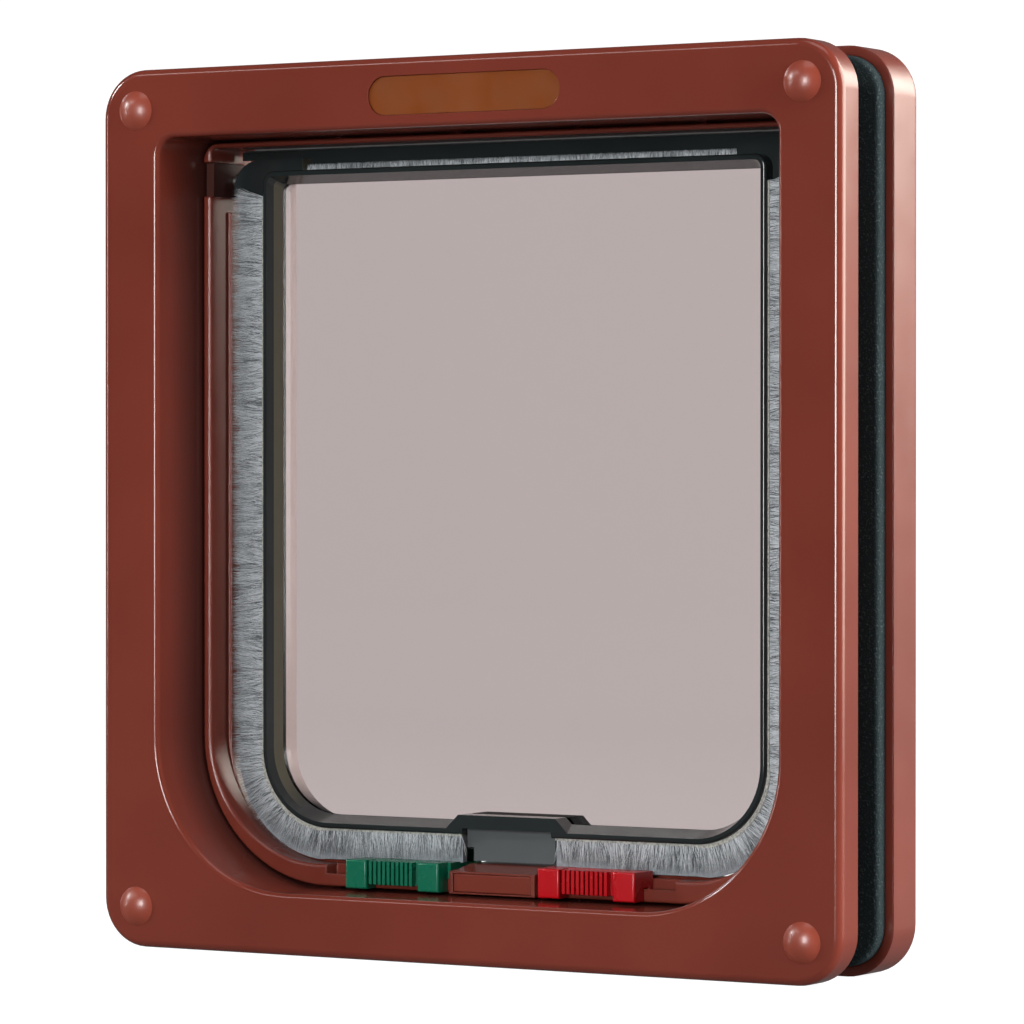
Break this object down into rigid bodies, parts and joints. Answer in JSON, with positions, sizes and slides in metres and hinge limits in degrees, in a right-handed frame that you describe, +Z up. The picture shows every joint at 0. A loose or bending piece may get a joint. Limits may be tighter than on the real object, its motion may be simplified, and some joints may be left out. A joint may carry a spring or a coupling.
{
  "type": "cat flap",
  "caption": "Cat flap: two moulded frames that clamp a door, a swinging clear flap with pile edges, and sliding locks for each direction.",
  "frame": {"origin": "bottom centre of the whole, midway between the caps on the room side and the outdoor face", "axes": "+X to the right seen from the room, +Y from the room to the outdoors, +Z up"},
  "size_m": [0.224, 0.0452, 0.236],
  "materials": {
    "brown_moulding": "glossy red-brown moulded plastic",
    "brown_moulding_outdoor": "glossy red-brown moulded plastic",
    "badge": "orange-brown plate with nothing on it",
    "brown_cap": "glossy red-brown domes",
    "brown_cover": "glossy red-brown",
    "foam": "black closed-cell foam",
    "magnet": "bare dark ferrite",
    "green_slider": "glossy green",
    "red_slider": "glossy red",
    "smoked_rim": "dark green-black smoked plastic",
    "olive_rim": "smoked olive plastic",
    "pane": "clear, faintly pink-grey plastic sheet",
    "pile": "grey woven pile, brushed",
    "latch": "dark grey, satin",
    "steel": "zinc-plated steel",
    "clip": "dark red-brown, satin"
  },
  "bodies": {
    "frames": {"interior_frame": "brown_moulding", "badge_plate": "badge", "exterior_frame": "brown_moulding_outdoor", "foam_gasket": "foam", "magnet_cover": "brown_cover", "frame_magnet": "magnet", "pivot_clip_left": "clip", "pivot_clip_right": "clip", "screw_cap_upper_left": "brown_cap", "screw_cap_upper_right": "brown_cap", "screw_cap_lower_left": "brown_cap", "screw_cap_lower_right": "brown_cap", "fixing_screw_upper_left": "steel", "fixing_screw_upper_right": "steel", "fixing_screw_lower_left": "steel", "fixing_screw_lower_right": "steel"},
    "flap": {"flap_frame": "smoked_rim", "flap_rear_frame": "olive_rim", "flap_pane": "pane", "flap_brush_left": "pile", "flap_brush_right": "pile", "flap_brush_top": "pile", "latch_block": "latch", "flap_magnet": "magnet", "hinge_pin_left": "steel", "hinge_pin_right": "steel"},
    "inward_lock": {"inward_lock_slider": "green_slider"},
    "outward_lock": {"outward_lock_slider": "red_slider"}
  },
  "joints": [
    {"name": "flap_swing", "type": "hinge", "parent": "frames", "child": "flap", "pos_m": [0, 0.0129, 0.2073], "axis": [1, 0, 0], "range_deg": [-85, 85]},
    {"name": "inward_lock_slide", "type": "slide", "parent": "frames", "child": "inward_lock", "axis": [1, 0, 0], "range_m": [-0.009, 0.002]},
    {"name": "outward_lock_slide", "type": "slide", "parent": "frames", "child": "outward_lock", "axis": [1, 0, 0], "range_m": [-0.002, 0.009]}
  ]
}
